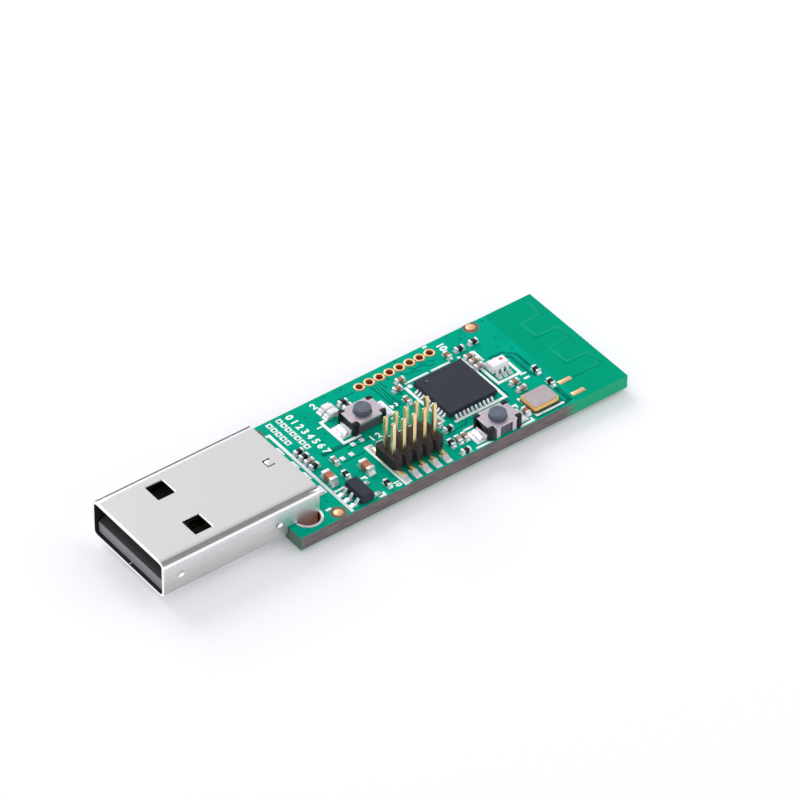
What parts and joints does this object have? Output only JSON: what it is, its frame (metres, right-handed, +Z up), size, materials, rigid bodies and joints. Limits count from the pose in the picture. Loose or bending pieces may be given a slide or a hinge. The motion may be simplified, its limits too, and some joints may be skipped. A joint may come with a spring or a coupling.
{
  "type": "usb radio stick",
  "caption": "Bare green circuit board with a folded steel USB plug, square radio chip, printed antenna, pin header and push buttons, for a smart home radio link.",
  "frame": {"origin": "middle of the outline's length and width, level with the tips of the plug's soldered lugs", "axes": "+X runs from the plug's mouth to the antenna end, +Y across the board to the signal holes, +Z up out of the side that carries the parts"},
  "size_m": [0.056, 0.016, 0.0079],
  "materials": {
    "nickel_steel": "bright nickel-plated sheet steel",
    "gold_plate": "gold flash on copper alloy",
    "insulator_plastic": "black moulded thermoplastic",
    "green_board": "green solder mask over glass-fibre laminate",
    "plated_copper": "tin over copper",
    "solder": "bright tin solder",
    "tinned_pads": "tin over copper",
    "chip_moulding": "dark grey filled epoxy",
    "tinned_leads": "matt tin plate",
    "white_ceramic": "white fired ceramic",
    "crystal_ceramic": "brown-grey fired ceramic",
    "lid_metal": "brushed nickel-iron lid",
    "pin_gold": "pale gold flash on brass",
    "header_plastic": "black heat-proof thermoplastic",
    "switch_base_plastic": "black moulded thermoplastic",
    "spring_steel": "bright spring steel",
    "plunger_plastic": "slate blue moulded plastic",
    "cover_steel": "bright stamped steel",
    "light_resin": "milky epoxy resin",
    "bulk_ceramic": "brown fired ceramic with tinned ends",
    "resistor_glaze": "black glaze with tinned ends",
    "capacitor_ceramic": "brown fired ceramic with tinned ends",
    "inductor_ceramic": "pinkish grey ceramic with tinned ends"
  },
  "bodies": {
    "stick": {"plug_shell": "nickel_steel", "power_contact": "gold_plate", "data_contact_far": "gold_plate", "data_contact_near": "gold_plate", "ground_contact": "gold_plate", "plug_insulator": "insulator_plastic", "circuit_board": "green_board", "signal_hole_rings": "plated_copper", "lug_hole_rings": "plated_copper", "lug_solder": "solder", "copper_pads": "tinned_pads", "radio_chip": "chip_moulding", "regulator_body": "chip_moulding", "radio_chip_lands": "tinned_leads", "regulator_leads": "tinned_leads", "coupler_leads": "tinned_leads", "coupler_body": "white_ceramic", "crystal_tray": "crystal_ceramic", "crystal_ring": "gold_plate", "crystal_lid": "lid_metal", "near_pin_1": "pin_gold", "near_pin_2": "pin_gold", "near_pin_3": "pin_gold", "near_pin_4": "pin_gold", "near_pin_5": "pin_gold", "far_pin_1": "pin_gold", "far_pin_2": "pin_gold", "far_pin_3": "pin_gold", "far_pin_4": "pin_gold", "far_pin_5": "pin_gold", "header_body": "header_plastic", "far_switch_base": "switch_base_plastic", "far_switch_terminals": "tinned_leads", "far_switch_dome": "spring_steel", "far_switch_cover": "cover_steel", "far_status_light": "light_resin", "near_switch_base": "switch_base_plastic", "near_switch_terminals": "tinned_leads", "near_switch_dome": "spring_steel", "near_switch_cover": "cover_steel", "near_status_light": "light_resin", "front_bulk_capacitor": "bulk_ceramic", "rear_bulk_capacitor": "bulk_ceramic", "small_resistors": "resistor_glaze", "small_capacitors": "capacitor_ceramic", "small_inductors": "inductor_ceramic"},
    "far_button": {"far_switch_plunger": "plunger_plastic"},
    "near_button": {"near_switch_plunger": "plunger_plastic"}
  },
  "joints": [
    {"name": "far_button_press", "type": "slide", "parent": "stick", "child": "far_button", "axis": [0, 0, -1], "range_m": [0, 0.00025], "stiffness_N_per_m": 4000, "springref_m": -0.0001, "deforming": ["far_switch_dome"]},
    {"name": "near_button_press", "type": "slide", "parent": "stick", "child": "near_button", "axis": [0, 0, -1], "range_m": [0, 0.00025], "stiffness_N_per_m": 4000, "springref_m": -0.0001, "deforming": ["near_switch_dome"]}
  ]
}
